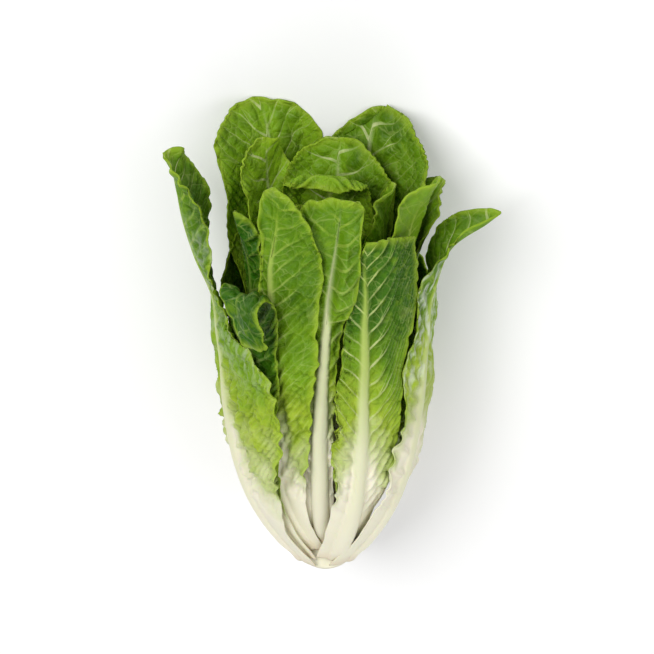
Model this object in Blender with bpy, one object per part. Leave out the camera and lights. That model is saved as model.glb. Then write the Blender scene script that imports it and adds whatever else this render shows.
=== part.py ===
"""A romaine lettuce head, lying on its back leaves.

The head's axis lies along +Y with the leaf tips at +Y, and its fuller side faces up.
Each leaf is a closed solid: a curved surface, thickened to a thin blade with a stout
rib. Lengths are in millimetres until the meshes are made, where MM turns them to metres.
Angles are in degrees round the axis, from straight up (0) towards +X.
"""

from dataclasses import dataclass

import bpy
import numpy as np

MM = 0.001

# Stem
STEM_LENGTH = 78.0
STEM_RADIUS = 13.5
STEM_TIP_RADIUS = 2.5
STEM_SIDES = 20
STEM_DIMPLE = 1.2
STEM_CHAMFER = 1.2
STEM_END_SHARE = 0.6

# How the shells of leaves nest
ATTACH_LOWEST = 4.0
ATTACH_SPAN = 52.0
ATTACH_CLEARANCE = 3.4
SHELL_GROWTH = 39.0
SHELL_RISE = 44.0
SHELL_SHAPE = 1.2

# Steps along a leaf's lower part at which its shell is followed
SHELL_STEPS = (0.0, 5.0, 12.0, 24.0, 42.0, 66.0, 96.0)
TOP_CLEARANCE = 12.0

# Leaf blades and ribs
BLADE_THICKNESS = 0.9
RIB_INNER_SHARE = 0.28
RIB_TIP_SHARE = 0.1
RIB_START = 0.07
ARCH_ROUNDNESS = 0.96
LEAST_BEND = 1e-5
TOP_NARROWING = 0.12
LEAN_POWER = 2.5

# Where along a leaf, as shares of its length, the blade changes its form
FREE_FROM = 0.55
FOLD_FROM = 0.68
FOLD_RAMP = 0.27
FOLD_CREASE = 2.0
WAIST_RAMP = 0.12
FLAP_RAMP = 0.12
FLAP_WIDTH = 0.4

# Ruffled margins
RUFFLE_EDGE = 2.4
RUFFLE_TWIST = 3.4
RUFFLE_RAMP = 0.35

# The height of the axis above the flat the head rests on
FLOOR_DEPTH = 51.0

# Mesh grid of a leaf: places across, from the left margin to the right, and rows along it
ACROSS = (-1.0, -0.68, -0.38, -0.14, 0.0, 0.14, 0.38, 0.68, 1.0)
ROWS = 16


@dataclass(frozen=True)
class Leaf:
    """One leaf: where it sits on the stem and how its blade runs."""

    name: str
    angle: float  # of the rib round the axis
    depth: float  # 0 at the heart, 1 in the outermost shell
    top: tuple  # (height, radius) places of the rib above the shell part
    left: float  # half width of the blade, left of the rib
    right: float
    lean: float = 0.0  # turn of the rib round the axis from base to tip
    arch: float = 1.0  # roundness of the top edge: 1 for a half circle, less for a flatter one
    skew: float = 0.0  # share of the length cut off the left side, or off the right if negative
    top_bend: float = 0.014  # curvature of the cross-section at the tip, per millimetre
    fold: float = 0.0  # how far the blade is folded lengthwise at the tip, 0 to 1
    ruffle: float = 1.2
    waves: float = 5.0
    phase: float = 0.0
    rib: float = 3.2  # rib height at the base, above the blade
    rib_width: float = 4.6
    flap: float = 0.0  # how far the right half stands out from the shell
    flap_span: tuple = (0.66, 0.97)
    widest: float = 0.52  # share of the length where the blade is at full width
    base: float = 11.0  # half width where the leaf joins the stem
    right_start: float = 0.0  # share of the length where the right half starts to widen
    waist_left: float = 0.0  # share of the left half that is missing between the two of waist_span
    waist_right: float = 0.0
    waist_span: tuple = (0.5, 0.9)


LEAVES = (
    Leaf("heart_left_leaf", -95, 0.24, ((180, 18), (208, 14)),
         17, 17, top_bend=0.05, phase=0.4, rib=1.6, base=7.0),
    Leaf("hood_leaf", 176, 0.3, ((182, 23), (195, 26), (207, 24.5), (216, 17.5), (217, 9.5), (212, 4)),
         29, 29, arch=0.8, top_bend=0.045, ruffle=0.6, phase=1.3, rib=1.8, base=9.0),
    Leaf("heart_right_leaf", 40, 0.32, ((180, 21), (202, 18)),
         19, 19, top_bend=0.045, phase=2.1, rib=1.6),
    Leaf("right_inner_leaf", 78, 0.42, ((190, 29), (222, 32)),
         23, 25, top_bend=0.03, ruffle=0.7, phase=0.9, rib=2.0),
    Leaf("back_middle_leaf", 170, 0.48, ((192, 31.5), (228, 37)),
         35, 30, arch=0.85, top_bend=0.02, phase=2.6, rib=2.2),
    Leaf("left_shoulder_leaf", -132, 0.57, ((195, 37), (226, 42), (233, 41)),
         17, 25, top_bend=0.022, phase=0.2, rib=1.8, base=6.0),
    Leaf("back_right_leaf", 147, 0.6, ((180, 39), (212, 46), (240, 58.5)),
         49, 25.5, lean=7, arch=0.65, skew=-0.03, top_bend=0.02, phase=1.9, rib=2.4),
    Leaf("left_tongue_leaf", -62, 0.65, ((176, 41), (207, 46.5), (217, 48)),
         12, 12, arch=1.4, top_bend=0.08, ruffle=0.5, phase=2.8, rib=1.0, widest=0.8),
    Leaf("right_smooth_leaf", 58, 0.68, ((180, 42.5), (210, 48), (228, 54), (238, 60)),
         17, 16, lean=2, arch=1.0, top_bend=0.035, ruffle=0.5, phase=2.3, rib=2.0, base=7.0),
    Leaf("back_left_leaf", -147, 0.71, ((180, 43), (214, 50), (245, 61)),
         33, 36, arch=0.7, top_bend=0.006, phase=1.1, rib=2.4),
    Leaf("front_middle_leaf", -6, 0.72, ((165, 42.5), (195, 44), (222, 45), (235, 43.5)),
         24, 12, lean=17, arch=0.5, top_bend=0.022, phase=0.7, rib=2.9, flap=12.0, widest=0.85,
         base=7.0, right_start=0.66),
    Leaf("right_far_leaf", 104, 0.79, ((185, 47.5), (202, 53), (214, 61)),
         17, 22, arch=0.8, top_bend=0.02, ruffle=0.8, phase=0.5, rib=2.2, base=6.0),
    Leaf("right_front_leaf", 46, 0.81, ((160, 45.5), (183, 45.5)),
         27, 23, phase=2.0, rib=2.4, widest=0.42, base=8.0),
    Leaf("front_left_leaf", -43, 0.815, ((190, 47.5), (241, 50)),
         20, 25, lean=19, arch=1.1, skew=-0.06, top_bend=0.02, phase=1.6, base=10.5, waist_left=0.68,
         waist_span=(0.45, 1.0)),
    Leaf("under_left_leaf", -125, 0.84, ((165, 48), (189, 48.9)),
         34, 37, ruffle=0.8, phase=2.9, rib=3.0),
    Leaf("under_right_leaf", 128, 0.88, ((160, 49), (179, 49.7)),
         33, 35, ruffle=0.8, phase=0.3, rib=3.0),
    Leaf("front_right_leaf", 22, 0.9, ((170, 50.5), (216, 54)),
         16, 36, lean=-2, arch=0.35, skew=0.5, top_bend=0.018, phase=1.2, rib=4.0, rib_width=5.2,
         widest=0.95, base=11.0, waist_right=0.16, waist_span=(0.42, 0.8)),
    Leaf("left_flopped_leaf", -52, 0.925,
         ((150, 50.5), (168, 54), (184, 60), (184, 65.5), (172, 66.5), (157, 64)),
         17, 16, lean=16, arch=0.4, skew=0.2, top_bend=0.0, ruffle=1.0, phase=2.4, rib=2.0, base=9.0),
    Leaf("under_middle_leaf", 180, 0.97, ((160, 53), (194, 53.5)),
         36, 36, ruffle=0.6, phase=0.8),
    Leaf("right_outer_leaf", 63, 0.985, ((145, 53), (168, 55.5), (187, 61), (212, 83)),
         16, 22, lean=20, arch=1.3, skew=0.1, fold=0.75, phase=1.8, rib=3.0, base=10.0,
         waist_left=0.35, waist_span=(0.62, 2.0)),
    Leaf("left_outer_leaf", -68, 1.0, ((143, 54.5), (165, 57.5), (186, 64), (238, 77)),
         24, 44, lean=-24, arch=0.9, fold=0.5, phase=0.1, rib=3.0, widest=0.5, base=14.0,
         waist_right=0.6, waist_span=(0.56, 2.0)),
)

# Base colour and roughness of each kind of piece, for a plain view of the model
LEAF_COLOUR = (0.16, 0.34, 0.05, 1.0)
LEAF_ROUGHNESS = 0.45
STEM_COLOUR = (0.86, 0.84, 0.70, 1.0)
STEM_ROUGHNESS = 0.5


def smooth(value):
    """A soft step from 0 to 1 as the value runs from 0 to 1."""
    value = np.clip(value, 0.0, 1.0)
    return value * value * (3.0 - 2.0 * value)


def stem_radius(height):
    """The stem's radius at a height: widest just above the cut, tapering to its tip."""
    share = np.clip(height / STEM_LENGTH, 0.0, 1.0)
    return STEM_TIP_RADIUS + (STEM_RADIUS - STEM_TIP_RADIUS) * (1.0 - share) ** 1.2


def attach_height(depth):
    """Outer leaves join the stem near its cut end, and inner leaves higher up."""
    return ATTACH_LOWEST + (1.0 - depth) * ATTACH_SPAN


def shell_radius(height, depth):
    """How far from the axis a shell of this depth runs at a height."""
    start = attach_height(depth)
    risen = 1.0 - np.exp(-(((height - start) / SHELL_RISE) ** SHELL_SHAPE))
    return stem_radius(start) + ATTACH_CLEARANCE + SHELL_GROWTH * depth * risen


def rib_places(leaf):
    """(height, radius) places of the rib: the shell part, then the leaf's own top."""
    start = attach_height(leaf.depth)
    heights = start + np.array(SHELL_STEPS)
    heights = heights[heights < leaf.top[0][0] - TOP_CLEARANCE]
    shell = np.column_stack((heights, shell_radius(heights, leaf.depth)))
    return np.vstack((shell, np.array(leaf.top, float)))


def along_curve(places, share):
    """The point at each share of a smooth curve through the places."""
    steps = np.linalg.norm(np.diff(places, axis=0), axis=1)
    knots = np.concatenate(((0.0,), np.cumsum(steps)))
    knots /= knots[-1]
    slopes = np.gradient(places, knots, axis=0)
    piece = np.clip(np.searchsorted(knots, share, side="right") - 1, 0, len(knots) - 2)
    width = knots[piece + 1] - knots[piece]
    u = ((share - knots[piece]) / width)[..., None]
    width = width[..., None]
    return (
        (1.0 + 2.0 * u) * (1.0 - u) ** 2 * places[piece]
        + u * (1.0 - u) ** 2 * width * slopes[piece]
        + u * u * (3.0 - 2.0 * u) * places[piece + 1]
        + u * u * (u - 1.0) * width * slopes[piece + 1]
    )


def leaf_surface(leaf, across, along):
    """The middle of the blade, as points and as distances from the rib.

    across runs from -1 at the left margin to 1 at the right, along from 0 at the stem
    to 1 at the top edge. Each cross-section is an arc round the axis low down and bends
    by the leaf's own top_bend at the tip.
    """
    places = rib_places(leaf)
    length = np.linalg.norm(np.diff(places, axis=0), axis=1).sum()
    drop = leaf.arch * (leaf.left + leaf.right) / 2.0 / length
    rounding = 1.0 - np.sqrt(1.0 - (ARCH_ROUNDNESS * across) ** 2)
    slope = abs(leaf.skew) * np.maximum(-np.sign(leaf.skew) * across, 0.0) ** 1.2
    share = along * (1.0 - drop * rounding - slope)
    place = along_curve(places, share)
    height, radius = place[..., 0], place[..., 1]
    full = np.where(across < 0.0, leaf.left, leaf.right)
    start = np.where(across < 0.0, 0.0, leaf.right_start)
    half = leaf.base + (full - leaf.base) * smooth((share - start) / (leaf.widest - start))
    half *= 1.0 - TOP_NARROWING * smooth((share - 0.75) / 0.25)
    waist_start, waist_end = leaf.waist_span
    waist = smooth((share - waist_start) / WAIST_RAMP) * smooth((waist_end - share) / WAIST_RAMP)
    half *= 1.0 - np.where(across < 0.0, leaf.waist_left, leaf.waist_right) * waist
    side = across * half
    free = smooth((share - FREE_FROM) / (1.0 - FREE_FROM))
    bend = (1.0 - free) / radius + free * leaf.top_bend
    bend = np.maximum(bend, LEAST_BEND)
    folded = leaf.fold * smooth((share - FOLD_FROM) / FOLD_RAMP)
    turn = side * bend
    sideways = np.sin(turn) / bend * np.sqrt(1.0 - folded**2)
    crease = np.hypot(side, FOLD_CREASE) - FOLD_CREASE
    outward = radius - (1.0 - np.cos(turn)) / bend - folded * crease
    edge = 1.0 - (1.0 - np.abs(across) ** RUFFLE_EDGE) * (1.0 - along**10)
    wave = np.sin(2.0 * np.pi * leaf.waves * share + leaf.phase + RUFFLE_TWIST * across)
    outward = outward + leaf.ruffle * edge * wave * smooth(share / RUFFLE_RAMP) * (1.0 + free)
    first, last = leaf.flap_span
    window = smooth((share - first) / FLAP_RAMP) * smooth((last - share) / FLAP_RAMP)
    outward = outward + leaf.flap * smooth(across / FLAP_WIDTH) * window
    angle = np.radians(leaf.angle + leaf.lean * share**LEAN_POWER)
    points = np.stack((
        outward * np.sin(angle) + sideways * np.cos(angle),
        height,
        outward * np.cos(angle) - sideways * np.sin(angle),
    ), axis=-1)
    points[..., 2] = np.maximum(points[..., 2], BLADE_THICKNESS / 2.0 - FLOOR_DEPTH)
    return points, side, share


def outward_normals(points):
    """Unit normals of a grid of points, pointing away from the head."""
    down_rows, down_columns = np.gradient(points, axis=(0, 1))
    normals = np.cross(down_columns, down_rows)
    return normals / np.linalg.norm(normals, axis=-1, keepdims=True)


def leaf_faces(rows, columns):
    """Triangles of a slab: its outer face, its inner face split alike, and its four edges."""
    grid = np.arange(rows * columns).reshape(rows, columns)
    a, b = grid[:-1, :-1].ravel(), grid[:-1, 1:].ravel()
    c, d = grid[1:, 1:].ravel(), grid[1:, :-1].ravel()
    outer = np.vstack((np.column_stack((a, b, c)), np.column_stack((a, c, d))))
    inner = outer[:, ::-1] + rows * columns
    ring = np.concatenate((grid[0, :-1], grid[:-1, -1], grid[-1, :0:-1], grid[:0:-1, 0]))
    after = np.roll(ring, -1)
    under, after_under = ring + rows * columns, after + rows * columns
    edge = np.vstack((np.column_stack((ring, under, after)), np.column_stack((after, under, after_under))))
    return np.vstack((outer, inner, edge))


def leaf_mesh(leaf):
    """Points and triangles of one closed leaf."""
    along, across = np.meshgrid(np.linspace(0.0, 1.0, ROWS), np.array(ACROSS), indexing="ij")
    points, side, share = leaf_surface(leaf, across, along)
    normals = outward_normals(points)
    height = leaf.rib * (RIB_TIP_SHARE + (1.0 - RIB_TIP_SHARE) * (1.0 - share) ** 0.9)
    height *= 0.5 + 0.5 * smooth(share / RIB_START)
    bulge = height * np.exp(-((side / (leaf.rib_width * (1.3 - share))) ** 2))
    outer = points + normals * (BLADE_THICKNESS / 2.0 + bulge)[..., None]
    inner = points - normals * (BLADE_THICKNESS / 2.0 + RIB_INNER_SHARE * bulge)[..., None]
    outer[..., 2] = np.maximum(outer[..., 2], -FLOOR_DEPTH)
    return np.vstack((outer.reshape(-1, 3), inner.reshape(-1, 3))), leaf_faces(ROWS, len(ACROSS))


def stem_mesh():
    """Points and triangles of the stem: a tapered core with a slightly hollowed cut face."""
    heights = np.array((0.0, 1.5, 12.0, 28.0, 50.0, STEM_LENGTH - 2.0, STEM_LENGTH))
    radii = stem_radius(heights)
    radii[0] -= STEM_CHAMFER
    radii[-1] *= STEM_END_SHARE
    turn = 2.0 * np.pi * np.arange(STEM_SIDES) / STEM_SIDES
    x = radii[:, None] * np.sin(turn)
    z = radii[:, None] * np.cos(turn)
    rings = np.stack((x, np.repeat(heights[:, None], STEM_SIDES, axis=1), z), axis=-1)
    ends = np.array(((0.0, STEM_DIMPLE, 0.0), (0.0, STEM_LENGTH, 0.0)))
    points = np.vstack((rings.reshape(-1, 3), ends))
    faces = []
    last = (len(heights) - 1) * STEM_SIDES
    for side in range(STEM_SIDES):
        after = (side + 1) % STEM_SIDES
        for ring in range(0, last, STEM_SIDES):
            a, b = ring + side, ring + after
            c, d = b + STEM_SIDES, a + STEM_SIDES
            faces += [(a, b, c), (a, c, d)]
        faces.append((len(points) - 2, after, side))
        faces.append((len(points) - 1, last + side, last + after))
    return points, np.array(faces)


def add_object(name, points, faces, colour, roughness):
    """Put one closed mesh in the scene, with its own plain material."""
    mesh = bpy.data.meshes.new(name)
    mesh.from_pydata((points * MM).tolist(), [], faces.tolist())
    mesh.polygons.foreach_set("use_smooth", [True] * len(mesh.polygons))
    mesh.update()
    material = bpy.data.materials.new(name)
    material.use_nodes = True
    shader = material.node_tree.nodes["Principled BSDF"]
    shader.inputs["Base Color"].default_value = colour
    shader.inputs["Roughness"].default_value = roughness
    shader.inputs["Metallic"].default_value = 0.0
    mesh.materials.append(material)
    bpy.context.scene.collection.objects.link(bpy.data.objects.new(name, mesh))


def main():
    for obj in list(bpy.data.objects):
        bpy.data.objects.remove(obj, do_unlink=True)
    meshes = {leaf.name: leaf_mesh(leaf) for leaf in LEAVES}
    everything = np.vstack([points for points, _ in meshes.values()])
    low, high = everything.min(axis=0), everything.max(axis=0)
    low[1] = min(low[1], 0.0)
    origin = np.array(((low[0] + high[0]) / 2.0, (low[1] + high[1]) / 2.0, -FLOOR_DEPTH))
    for name, (points, faces) in meshes.items():
        add_object(name, points - origin, faces, LEAF_COLOUR, LEAF_ROUGHNESS)
    points, faces = stem_mesh()
    add_object("stem", points - origin, faces, STEM_COLOUR, STEM_ROUGHNESS)


main()
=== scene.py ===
"""The looks of a romaine lettuce head that lies on its back leaves.

The head's axis runs along +Y from the cut stem to the leaf tips, and +Z is up. Every leaf
is one surface of two parameters, across and along, thickened to a blade with a rib. The
leaf shapes are in millimetres, and in degrees round the axis from +Z towards +X.
"""

from dataclasses import dataclass

import bpy
import numpy as np
from mathutils import Matrix, Vector


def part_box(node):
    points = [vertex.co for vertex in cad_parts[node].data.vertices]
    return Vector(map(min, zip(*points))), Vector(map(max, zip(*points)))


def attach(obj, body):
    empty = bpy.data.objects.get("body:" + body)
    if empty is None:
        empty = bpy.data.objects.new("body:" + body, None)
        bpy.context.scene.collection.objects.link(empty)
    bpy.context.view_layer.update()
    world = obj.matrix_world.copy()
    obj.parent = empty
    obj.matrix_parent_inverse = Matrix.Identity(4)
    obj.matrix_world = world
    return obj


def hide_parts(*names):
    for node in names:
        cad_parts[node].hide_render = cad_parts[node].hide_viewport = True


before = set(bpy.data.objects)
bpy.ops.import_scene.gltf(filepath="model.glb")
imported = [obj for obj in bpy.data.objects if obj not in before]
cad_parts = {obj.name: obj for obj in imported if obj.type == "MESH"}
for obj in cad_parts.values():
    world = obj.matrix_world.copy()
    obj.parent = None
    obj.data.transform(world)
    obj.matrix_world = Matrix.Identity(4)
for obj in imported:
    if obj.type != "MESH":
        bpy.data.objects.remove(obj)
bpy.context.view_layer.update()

bl_info = {
    "name": "Romaine lettuce head",
    "version": (1, 0, 0),
    "blender": (4, 5, 0),
    "location": "3D View > Sidebar > Lettuce",
    "description": "Builds a head of romaine lettuce, leaf by leaf, with its stage",
    "category": "Add Mesh",
}

# Metres in a millimetre
MM = 0.001

# Stem
STEM_LENGTH = 78.0
STEM_RADIUS = 13.5
STEM_TIP_RADIUS = 2.5
STEM_DIMPLE = 1.2
STEM_CHAMFER = 1.2
STEM_SIDE_START = 1.5
STEM_WRAP = 14.0

# The darker ring of the cut face, as shares of its radius
RING_PLACE = 0.72
RING_WIDTH = 0.08

# How the shells of leaves nest
ATTACH_LOWEST = 4.0
ATTACH_SPAN = 52.0
ATTACH_CLEARANCE = 3.4
SHELL_GROWTH = 39.0
SHELL_RISE = 44.0
SHELL_SHAPE = 1.2

# Steps along a leaf's lower part at which its shell is followed
SHELL_STEPS = (0.0, 5.0, 12.0, 24.0, 42.0, 66.0, 96.0)
TOP_CLEARANCE = 12.0

# Leaf blades and ribs
RIB_TIP_WIDTH = 0.12
RIB_WIDENING = 0.95
RIB_INNER_SHARE = 0.28
RIB_TIP_SHARE = 0.1
RIB_START = 0.07
ARCH_ROUNDNESS = 0.96
LEAST_BEND = 1e-5
TOP_NARROWING = 0.12
LEAN_POWER = 2.5

# Where along a leaf, as shares of its length, the blade changes its form
FREE_FROM = 0.55
FOLD_FROM = 0.68
FOLD_RAMP = 0.27
WAIST_RAMP = 0.12
FLAP_RAMP = 0.12

# How soft a fold's crease is, in millimetres, and a flap's, as a share of the half width
FOLD_CREASE = 2.0
FLAP_WIDTH = 0.4

# Cut top edges and lobed margins
CUT_POWER = 1.6
NOTCH_SHARE = 0.012
BROAD_LOBE = 15.0
SMALL_LOBE = 5.0
LOBE_DEPTH = 2.4

# Ruffled margins
RUFFLE_EDGE = 2.4
RUFFLE_TWIST = 3.4
RUFFLE_RAMP = 0.35

# Frilled margins: radians for each millimetre, and how the pace and the height of it wander
FRILL_RATE = 0.55
FRILL_TWIST = 6.0
FRILL_PACE = 6.0
FRILL_PACE_LENGTH = 17.0
FRILL_BEAT = 1.5
FRILL_BEAT_LENGTH = 9.0
FRILL_FROM = 0.2
LOW_FRILL = 1.2
CALM_SHARE = 1.4

# Side veins: how they climb, bend and fork
VEIN_CLIMB = 0.75
VEIN_BOW = 0.014
VEIN_WANDER = 9.0
VEIN_SHAKE = 2.4
VEIN_STAGGER = 0.45
FORK_NEAREST = 4.0
FORK_SPREAD = 9.0
FORK_LENGTH = 12.0

# Relief of the blades
PUFF_WIDTH = 2.2
SMALL_FOLDS = 0.3
FOLDS_END = 0.66
SWELLS_FROM = 0.45
DEEPEST_RELIEF = 3.0
FLESH_DEPTH = 2.0
FLESH_END = 0.32

# The height of the axis above the flat the head rests on
FLOOR_DEPTH = 51.0

# The numbers that scatter the values of the noise
NOISE_STEPS = (127.1, 311.7, 74.7)
NOISE_SCALE = 43758.5453

# Mesh grids: cells across and along a leaf that shows well or little, round and along the stem
FINE_GRID = (80, 204)
PLAIN_GRID = (48, 120)
GRID_SPREAD = 1.25
STEM_AROUND = 96
STEM_ALONG = 60
STEM_FACE = 16

# Millimetres to one unit of the UV maps
UV_UNIT = 100.0


@dataclass(frozen=True)
class Leaf:
    """One leaf: where it sits on the stem and how its blade runs."""

    name: str
    angle: float  # of the rib round the axis
    depth: float  # 0 at the heart, 1 in the outermost shell
    top: tuple  # (height, radius) places of the rib above the shell part
    left: float  # half width of the blade, left of the rib
    right: float
    lean: float = 0.0  # turn of the rib round the axis from base to tip
    arch: float = 1.0  # roundness of the top edge: 1 for a half circle, less for a flatter one
    skew: float = 0.0  # share of the length cut off the left side, or off the right if negative
    top_bend: float = 0.014  # curvature of the cross-section at the tip, per millimetre
    fold: float = 0.0  # how far the blade is folded lengthwise at the tip, 0 to 1
    ruffle: float = 1.2  # height of the slow waves of the margins
    waves: float = 5.0  # how many of them run from base to tip
    phase: float = 0.0  # where its waves and noises start
    rib: float = 3.2  # rib height at the base, above the blade
    rib_width: float = 4.6
    flap: float = 0.0  # how far the right half stands out from the shell
    flap_span: tuple = (0.66, 0.97)
    widest: float = 0.52  # share of the length where the blade is at full width
    base: float = 11.0  # half width where the leaf joins the stem
    right_start: float = 0.0  # share of the length where the right half starts to widen
    waist_left: float = 0.0  # share of the left half's width that is missing within waist_span
    waist_right: float = 0.0
    waist_span: tuple = (0.5, 0.9)
    fine: bool = False  # whether it shows well enough for the fine grid
    puffs: float = 1.0  # depth of the puffs between the veins, times the puff height
    crinkle: float = 0.4  # depth of the sharp folds of the lower blade, times the crinkle height
    frill: float = 0.5  # height of the quick waves along the margins
    roll: float = 0.0  # how far the margins of the top roll outwards
    green_from: float = 0.15  # share of the length where the blade begins to turn green
    rise: float = 0.0  # how far the lower blade stands out, to give its folds some room
    dark: float = 0.5  # green of the top: 0 is light, 1 is deep, and some go a little past either
    rib_green: float = 1.0  # how green the upper rib is, 0 to 1, or more for a faint rib and veins
    vein_slope: float = 1.2  # how steeply the side veins climb, times VEIN_CLIMB
    vein_spacing: float = 11.0
    vein_light: float = 0.5  # how plainly the side veins show on the outer face, 0 to 1
    glare: float = 0.0  # how much painted glare lies on the outside of the bend


HEART_LEAVES = (
    Leaf("heart_left_leaf", -95, 0.24, ((180, 18), (208, 14)),
         17, 17, top_bend=0.05, phase=0.4, rib=1.6, base=7.0, dark=0.1),
    Leaf("hood_leaf", 176, 0.3, ((182, 23), (195, 26), (207, 24.5), (216, 17.5), (217, 9.5), (212, 4)),
         29, 29, arch=0.8, top_bend=0.045, ruffle=0.6, phase=1.3, rib=1.8, base=9.0, dark=0.0,
         vein_slope=0.8, fine=True, puffs=1.5, frill=0.2),
    Leaf("heart_right_leaf", 40, 0.32, ((180, 21), (202, 18)),
         19, 19, top_bend=0.045, phase=2.1, rib=1.6, dark=0.15),
    Leaf("right_inner_leaf", 78, 0.42, ((190, 29), (222, 32)),
         23, 25, top_bend=0.03, ruffle=0.7, phase=0.9, rib=2.0, dark=0.3),
)

BACK_LEAVES = (
    Leaf("back_middle_leaf", 170, 0.48, ((192, 31.5), (228, 37)),
         35, 30, arch=0.85, top_bend=0.02, phase=2.6, rib=2.2, dark=0.3, vein_slope=0.75, fine=True,
         puffs=1.3, rib_green=0.4),
    # Its green, lighter than the light green (dark below 0) and starting late, is partly painted light on
    # a leaf that the front leaves shadow
    Leaf("left_shoulder_leaf", -132, 0.57, ((195, 37), (226, 42), (233, 41)),
         17, 25, top_bend=0.022, phase=0.2, rib=1.8, base=6.0, dark=-0.35, green_from=0.3,
         vein_slope=0.9, rib_green=0.5, fine=True),
    Leaf("back_right_leaf", 147, 0.6, ((180, 39), (212, 46), (240, 58.5)),
         53, 25.5, lean=7, arch=0.65, skew=-0.03, top_bend=0.02, phase=1.9, rib=2.4, dark=0.4,
         vein_slope=0.7, vein_spacing=13.0, fine=True, puffs=1.3, rib_green=0.4),
    Leaf("back_left_leaf", -147, 0.71, ((180, 43), (214, 50), (245, 61)),
         33, 36, arch=0.7, top_bend=0.006, phase=1.1, rib=2.4, dark=0.1, vein_slope=0.7, vein_spacing=13.0,
         fine=True, puffs=1.1, rib_green=0.4),
)

FRONT_LEAVES = (
    # The tongue's green, past the deep green (dark above 1), is partly its own dark green and partly
    # painted shade between the gaps beside it
    Leaf("left_tongue_leaf", -62, 0.65, ((176, 41), (207, 46.5), (217, 48)),
         12, 12, arch=1.4, top_bend=0.08, ruffle=0.5, phase=2.8, rib=1.0, widest=0.8, dark=1.2, puffs=1.2,
         crinkle=0.8, frill=0.1, rib_green=1.6),
    Leaf("front_middle_leaf", -6, 0.72, ((165, 42.5), (195, 44), (222, 45), (235, 43.5)),
         24, 12, lean=17, arch=0.5, top_bend=0.022, phase=0.7, rib=2.9, flap=12.0, widest=0.85,
         base=7.0, right_start=0.66, dark=0.65, puffs=1.3, crinkle=0.9, rib_green=0.35, fine=True),
    Leaf("right_front_leaf", 46, 0.81, ((160, 45.5), (183, 45.5)),
         27, 23, phase=2.0, rib=2.4, widest=0.42, base=12.0, dark=0.2, crinkle=0.8, frill=0.3),
    Leaf("front_left_leaf", -43, 0.815, ((190, 47.5), (241, 50)),
         20, 25, lean=19, arch=1.1, skew=-0.06, top_bend=0.02, phase=1.6, base=10.5, waist_left=0.68,
         waist_span=(0.45, 1.0), dark=0.7, crinkle=1.8, frill=1.2, roll=2.2, rise=1.6, green_from=0.12,
         fine=True),
    Leaf("front_right_leaf", 22, 0.9, ((170, 50.5), (216, 54)),
         18, 36, lean=-2, arch=0.35, skew=0.5, top_bend=0.018, phase=1.2, rib=4.0, rib_width=5.2,
         widest=0.95, waist_right=0.16, waist_span=(0.42, 0.8), dark=1.05, puffs=1.2, rise=2.4,
         crinkle=0.8, frill=0.9, vein_slope=1.7, vein_spacing=10.0, vein_light=0.95, fine=True),
    Leaf("left_flopped_leaf", -52, 0.925,
         ((150, 50.5), (168, 54), (184, 60), (184, 65.5), (172, 66.5), (157, 64)),
         17, 16, lean=16, arch=0.4, skew=0.2, top_bend=0.0, ruffle=1.0, phase=2.4, rib=2.0, base=9.0,
         dark=1.15, puffs=1.4, fine=True, rib_green=1.6, green_from=0.02),
)

SIDE_LEAVES = (
    Leaf("right_smooth_leaf", 58, 0.68, ((180, 42.5), (210, 48), (228, 54), (238, 60)),
         17, 16, lean=2, top_bend=0.035, ruffle=0.5, phase=2.3, rib=2.0, base=7.0, dark=0.35,
         puffs=0.4, frill=0.2),
    Leaf("right_far_leaf", 104, 0.79, ((185, 47.5), (202, 53), (214, 61)),
         17, 22, arch=0.8, top_bend=0.02, ruffle=0.8, phase=0.5, rib=2.2, base=6.0, dark=0.3),
    Leaf("right_outer_leaf", 59, 0.985, ((145, 53), (168, 55.5), (187, 61), (212, 83)),
         16, 22, lean=24, arch=1.3, skew=0.1, fold=0.75, phase=1.8, rib=3.0, base=15.0, waist_left=0.35,
         waist_span=(0.62, 2.0), dark=0.6, green_from=0.26, rise=1.4, fine=True, glare=0.6),
    Leaf("left_outer_leaf", -68, 1.0, ((143, 54.5), (165, 57.5), (186, 64), (238, 77)),
         24, 44, lean=-24, arch=0.9, fold=0.5, phase=0.1, rib=3.0, widest=0.5, base=14.0,
         waist_right=0.6, waist_span=(0.56, 2.0), dark=0.65, puffs=1.3, crinkle=2.0, frill=1.0, rise=2.6,
         fine=True, glare=0.25),
)

UNDER_LEAVES = (
    Leaf("under_left_leaf", -125, 0.84, ((165, 48), (189, 48.9)),
         34, 37, ruffle=0.8, phase=2.9, rib=3.0, dark=0.8),
    Leaf("under_right_leaf", 128, 0.88, ((160, 49), (179, 49.7)),
         33, 35, ruffle=0.8, phase=0.3, rib=3.0, dark=0.8),
    Leaf("under_middle_leaf", 180, 0.97, ((160, 53), (194, 53.5)),
         36, 36, ruffle=0.6, phase=0.8, dark=0.8),
)


def smooth(value):
    """A soft step from 0 to 1 as the value runs from 0 to 1: 3v^2 - 2v^3."""
    value = np.clip(value, 0.0, 1.0)
    return value * value * (3.0 - 2.0 * value)


def lattice_noise(x, y, seed):
    """Smooth noise from 0 to 1: a fixed value at each whole (x, y), blended softly between."""
    column, row = np.floor(x), np.floor(y)
    u, v = smooth(x - column), smooth(y - row)

    def corner(i, j):
        mixed = (column + i) * NOISE_STEPS[0] + (row + j) * NOISE_STEPS[1] + seed * NOISE_STEPS[2]
        mixed = np.sin(mixed) * NOISE_SCALE
        return mixed - np.floor(mixed)

    low = corner(0, 0) * (1.0 - u) + corner(1, 0) * u
    high = corner(0, 1) * (1.0 - u) + corner(1, 1) * u
    return low * (1.0 - v) + high * v


def stem_radius(height):
    """The stem's radius at a height: widest just above the cut, tapering to its tip."""
    share = np.clip(height / STEM_LENGTH, 0.0, 1.0)
    return STEM_TIP_RADIUS + (STEM_RADIUS - STEM_TIP_RADIUS) * (1.0 - share) ** 1.2


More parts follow.
